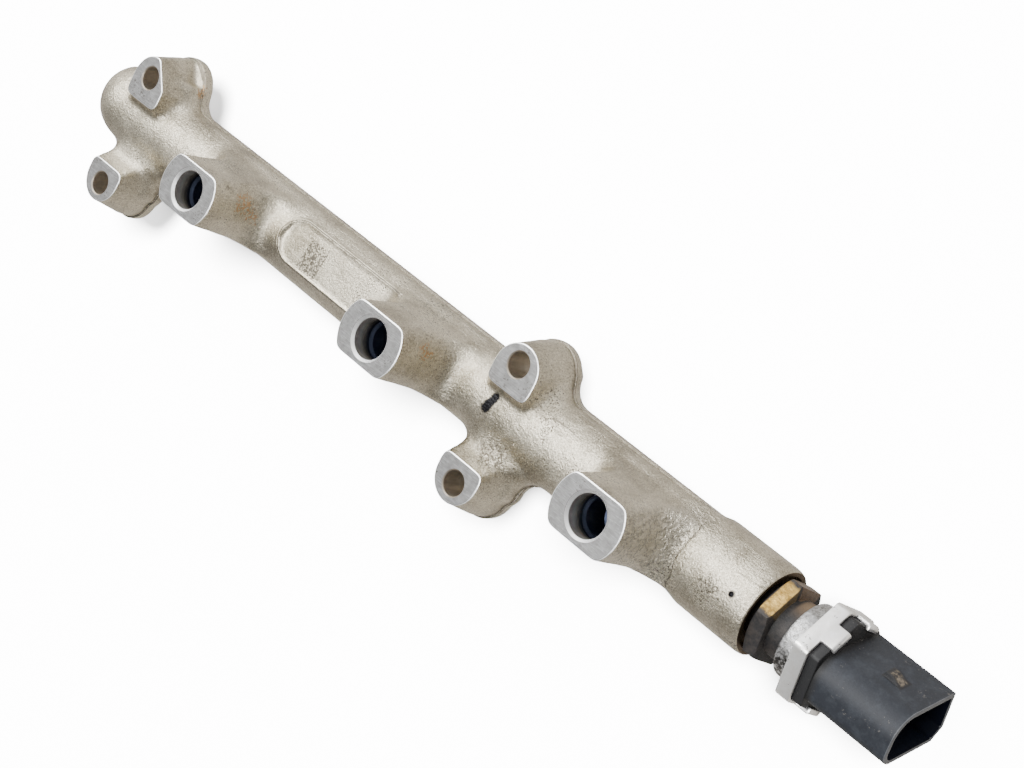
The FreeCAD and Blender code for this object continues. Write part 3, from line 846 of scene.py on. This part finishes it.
def platedSteel():
    # brushed and worn on the shell, rough and grimy on the ring under it, with painted shade on the ring's
    # lower side
    material, tree, shader = newMaterial("platedSteel", 0.82, 0.27)
    coords = objectCoords(tree)
    x, y, z = axes(tree, coords)
    worn = noiseOf(tree, coords, 240.0, 5.0, 0.65)
    rough = noiseOf(tree, coords, 900.0, 4.0, 0.7)
    onRing = band(tree, x, *plated["ringAlong"], 0.0001)
    shade = rampNode(tree, worn, [(0.36, plated["bright"]), (0.64, plated["worn"])])
    ring = rampNode(tree, rough, [(0.42, plated["ringPale"]), (0.62, plated["ringDark"])])
    shade = mixShade(tree, onRing, shade, ring)
    turn = plus(tree, aboutAxis(tree, y, z), times(tree, rough, 40.0))
    # painted shade: the ring darkens past a clock angle on its lower side, broken up by grime
    crust = times(tree, onRing, smoothStep(tree, turn, *plated["grimeAndShadeFrom"]),
                  smoothStep(tree, rough, 0.40, 0.55))
    dirt = useGroup(tree, specks, Vector=coords, Size=1300.0, Patch=150.0, Amount=0.26)
    shade = mixShade(tree, most(tree, times(tree, dirt, 0.6), crust), shade, plated["grime"])
    coverShade(tree, shader, shade, worn, plated["roughness"])
    height = plus(tree, times(tree, worn, 0.35), times(tree, rough, onRing))
    bumpInto(tree, shader, height, plated["bump"])
    return material


port = {
    "grime": ((0.006, 0.0055, 0.006), (0.026, 0.021, 0.018)),
    # darker brown copy of the brass for the next flat: painted shade
    "shadedFlatBrown": (0.13, 0.088, 0.055),
    "gold": ((0.60, 0.40, 0.12), (0.28, 0.17, 0.045)),
    "neck": (0.30, 0.20, 0.11),
    "goldTurn": (25.0, 76.0),
    "shadedFlatTurn": (-36.0, 19.0),
    "goldAlong": (0.1222, 0.1259),
    "shadedFlatAlong": (0.1222, 0.1267),
    "neckAlong": (0.1268, 0.1280),
    "bump": (0.5, 0.0005),
}


def portSteel():
    # brass-coloured passivation on one flat of the hexagon, a darker brown copy of it on the next flat as
    # painted shade, burnt grime on the rest
    material, tree, shader = newMaterial("portSteel", 0.5, 0.5)
    coords = objectCoords(tree)
    x, y, z = axes(tree, coords)
    crust = noiseOf(tree, coords, 420.0, 6.0, 0.75)
    turn = plus(tree, aboutAxis(tree, y, z), times(tree, minus(tree, crust, 0.5), 14.0))
    gold = times(tree, band(tree, turn, *port["goldTurn"], 3.0), band(tree, x, *port["goldAlong"], 0.0002))
    # painted shade: the flat next to the brass one gets a darker brown copy of it
    shadedFlatBrown = times(tree, band(tree, turn, *port["shadedFlatTurn"], 3.0), band(tree, x, *port["shadedFlatAlong"], 0.0002))
    neck = times(tree, smoothStep(tree, x, *port["neckAlong"]), smoothStep(tree, turn, 60.0, 10.0))
    grime = rampNode(tree, crust, list(zip((0.42, 0.62), port["grime"])))
    brass = rampNode(tree, crust, list(zip((0.42, 0.60), port["gold"])))
    shade = mixShade(tree, gold, mixShade(tree, shadedFlatBrown, grime, port["shadedFlatBrown"]), brass)
    shade = tint(tree, shade, neck, 0.5, port["neck"])
    metal = most(tree, gold, times(tree, shadedFlatBrown, 0.7))
    coverShade(tree, shader, shade)
    wire(tree, times(tree, metal, 0.9), shader.inputs["Metallic"])
    wire(tree, minus(tree, 0.62, times(tree, metal, 0.27)), shader.inputs["Roughness"])
    bumpInto(tree, shader, crust, port["bump"])
    return material


plastic = {
    "dark": (0.009, 0.0115, 0.0175),
    "scuffed": (0.027, 0.032, 0.041),
    # near-black on the flange by the shell's tabs: painted shade between the parts, with grime
    "flange": (0.005, 0.005, 0.006),
    "dust": (0.14, 0.13, 0.12),
    # painted shade in the notches round the broken latch lug
    "lugNotchShade": (0.003, 0.003, 0.004),
    "lugWorn": ((0.045, 0.036, 0.027), (0.13, 0.105, 0.076)),
    "flangeEnd": (0.1428, 0.1450),
    "clock": 20.0,                  # how far the sensor is turned
    "roughness": (0.51, 0.2),
    "bump": (0.12, 0.0003),
}


def lugArea(tree, x, y, z, length, width, soft):
    # 1 on a part of the latch lug, which is turned with the sensor
    turn = math.radians(plastic["clock"])
    height = plus(tree, z, -axisZ)
    across = minus(tree, times(tree, height, math.cos(turn)), times(tree, y, math.sin(turn)))
    return times(tree, band(tree, x, *length, soft), band(tree, across, -width / 2, width / 2, soft),
                 above(tree, y, 0.0040))


def blackPlastic():
    material, tree, shader = newMaterial("blackPlastic", 0.0, 0.40)
    coords = objectCoords(tree)
    x, y, z = axes(tree, coords)
    scuff = noiseOf(tree, coords, 300.0, 6.0, 0.78)
    shade = rampNode(tree, scuff, [(0.45, plastic["dark"]), (0.74, plastic["scuffed"])])
    # darker flange by the shell's tabs: painted shade between the parts, with grime
    onSocket = smoothStep(tree, x, *plastic["flangeEnd"])
    shade = mixShade(tree, minus(tree, 1.0, onSocket), shade, plastic["flange"])
    dust = useGroup(tree, specks, Vector=coords, Size=1500.0, Patch=90.0, Amount=0.22)
    shade = tint(tree, shade, dust, 0.5, plastic["dust"])
    # painted shade: a dark frame round the broken latch lug stands in for the shade in its notches
    lugNotchShadeMask = lugArea(tree, x, y, z, (0.1532, 0.1590), 0.0044, 0.00020)
    shade = tint(tree, shade, lugNotchShadeMask, 0.9, plastic["lugNotchShade"])
    ragged = smoothStep(tree, noiseOf(tree, coords, 900.0, 4.0, 0.7), 0.38, 0.52)
    worn = times(tree, lugArea(tree, x, y, z, (0.1546, 0.1583), 0.0026, 0.00035), ragged)
    lug = rampNode(tree, noiseOf(tree, coords, 1500.0, 3.0), list(zip((0.42, 0.60), plastic["lugWorn"])))
    shade = tint(tree, shade, worn, 0.9, lug)
    coverShade(tree, shader, shade, scuff, plastic["roughness"])
    height = plus(tree, useGroup(tree, grain, Vector=coords, Size=2400.0), times(tree, worn, scuff))
    bumpInto(tree, shader, height, plastic["bump"])
    return material


def plainFinish(name, shade, metallic, roughness):
    # small inner pieces: one shade with a light mottling
    material, tree, shader = newMaterial(name, metallic, roughness)
    mottle = noiseOf(tree, objectCoords(tree), 600.0)
    darker = tuple(c * 0.7 for c in shade)
    coverShade(tree, shader, rampNode(tree, mottle, [(0.35, darker), (0.65, shade)]))
    bumpInto(tree, shader, mottle, (0.1, 0.0001))
    return material


skins = {
    "forged_steel": forgedSteel(),
    "plated_steel": platedSteel(),
    "port_steel": portSteel(),
    "black_plastic": blackPlastic(),
    "contact_metal": plainFinish("contactMetal", (0.75, 0.70, 0.58), 1.0, 0.3),
    "seal_rubber": plainFinish("sealRubber", (0.03, 0.03, 0.03), 0.0, 0.7),
    "board": plainFinish("boardGreen", (0.03, 0.18, 0.08), 0.0, 0.35),
    "chip": plainFinish("chipResin", (0.03, 0.03, 0.035), 0.0, 0.5),
}
for skin in (skins["forged_steel"], machinedSteel(), boreSteel()):
    railPiece.data.materials.append(skin)
for name, piece in crisp.items():
    piece.data.materials.append(skins[slotOf[name]])
# painted shade inside the socket, and a painted highlight on its rim
socketPaintedShade = plainFinish("socketPaintedShade", (0.002, 0.0035, 0.010), 0.0, 0.7)
socketPaintedShade.node_tree.nodes["Principled BSDF"].inputs["Specular IOR Level"].default_value = 0.1
socketRimHighlight = plainFinish("socketRimHighlight", (0.095, 0.10, 0.11), 0.0, 0.45)
for skin in (socketPaintedShade, socketRimHighlight):
    crisp["connector_housing"].data.materials.append(skin)
for name, slot in slotOf.items():
    if name != "rail_body" and name not in crisp:
        frame["nodes"][name].data.materials.clear()
        frame["nodes"][name].data.materials.append(skins[slot])
print("materials set")


# Camera at the photograph's viewing angle, and the lights: power, place and size
view = {
    "place": (0.31540, 0.13107, 0.39139),
    "right": (0.6552, 0.4695, -0.5919),
    "up": (-0.5168, 0.8500, 0.1021),
    "lens": 71.38,
    "sensorWidth": 36,
    "floorHeight": -0.0550,
    "paper": (0.92, 0.94),
    "underObject": (0.040, 0.037, 0.033),
    "lamps": {"softKey": (11, (-0.52, 0.42, 0.70), 0.52), "overhead": (9, (0.16, 0.0, 0.9), 0.48)},
    "aim": (0, 0, -0.03),
    "paperLight": (50, (0.52, 0.36, 1.0), 14),
    "window": (-0.50, 0.60, 0.55),
    "sky": [(0.25, 0.13), (0.6, 0.20), (0.85, 0.57), (1.0, 1.2)],
    "skyStrength": 2.0,
}


def addCamera():
    data = bpy.data.cameras.new("photoView")
    data.lens = view["lens"]
    data.sensor_width = view["sensorWidth"]
    data.clip_start = 0.01
    camera = bpy.data.objects.new("photoView", data)
    scene.collection.objects.link(camera)
    right = Vector(view["right"]).normalized()
    back = right.cross(Vector(view["up"])).normalized()
    up = back.cross(right)
    turn = Matrix((right, up, back)).transposed().to_4x4()
    camera.matrix_world = Matrix.Translation(view["place"]) @ turn
    scene.camera = camera


def addFloor():
    # the camera sees white paper, while the object stands over a dull one
    bm = bmesh.new()
    bmesh.ops.create_grid(bm, x_segments=2, y_segments=2, size=3)
    bmesh.ops.translate(bm, vec=(0, 0, view["floorHeight"]), verts=bm.verts)
    floor = makeObject("paleFloor", bm)
    material, tree, shader = newMaterial("palePaper", 0.0, 0.9)
    tone = noiseOf(tree, objectCoords(tree), 6.0, 2.0)
    paper = rampNode(tree, tone, list(zip((0.3, 0.7), view["paper"])))
    seen = tree.nodes.new("ShaderNodeLightPath").outputs["Is Camera Ray"]
    coverShade(tree, shader, mixShade(tree, seen, view["underObject"], paper))
    floor.data.materials.append(material)
    return floor


def addLamp(name, kind, energy, place, target):
    data = bpy.data.lights.new(name, kind)
    data.energy = energy
    lamp = bpy.data.objects.new(name, data)
    scene.collection.objects.link(lamp)
    aim = Vector(target) - Vector(place)
    lamp.matrix_world = Matrix.Translation(place) @ aim.to_track_quat("-Z", "Y").to_matrix().to_4x4()
    return lamp


def addLights(floor):
    for name, (energy, place, size) in view["lamps"].items():
        lamp = addLamp(name, "AREA", energy, place, view["aim"])
        lamp.data.shape = "SQUARE"
        lamp.data.size = size
    # lights the paper only, and lets the object's shadow fall on it
    energy, place, angle = view["paperLight"]
    paperLight = addLamp("paperLight", "SUN", energy, place, (0, 0, 0))
    paperLight.data.angle = math.radians(angle)
    paperOnly = bpy.data.collections.new("paperOnly")
    paperOnly.objects.link(floor)
    paperLight.light_linking.receiver_collection = paperOnly


def addWorld():
    # bright towards the window, dull behind the camera and at the horizon
    world = bpy.data.worlds.new("paleRoom")
    world.use_nodes = True
    tree = world.node_tree
    background = tree.nodes["Background"]
    toward = tree.nodes.new("ShaderNodeVectorMath")
    toward.operation = "DOT_PRODUCT"
    wire(tree, tree.nodes.new("ShaderNodeTexCoord").outputs["Generated"], toward.inputs[0])
    toward.inputs[1].default_value = Vector(view["window"]).normalized()
    share = plus(tree, times(tree, toward.outputs["Value"], 0.5), 0.5)
    wire(tree, rampNode(tree, share, view["sky"]), background.inputs["Color"])
    background.inputs["Strength"].default_value = view["skyStrength"]
    scene.world = world


addCamera()
addLights(addFloor())
addWorld()
print("stage set")
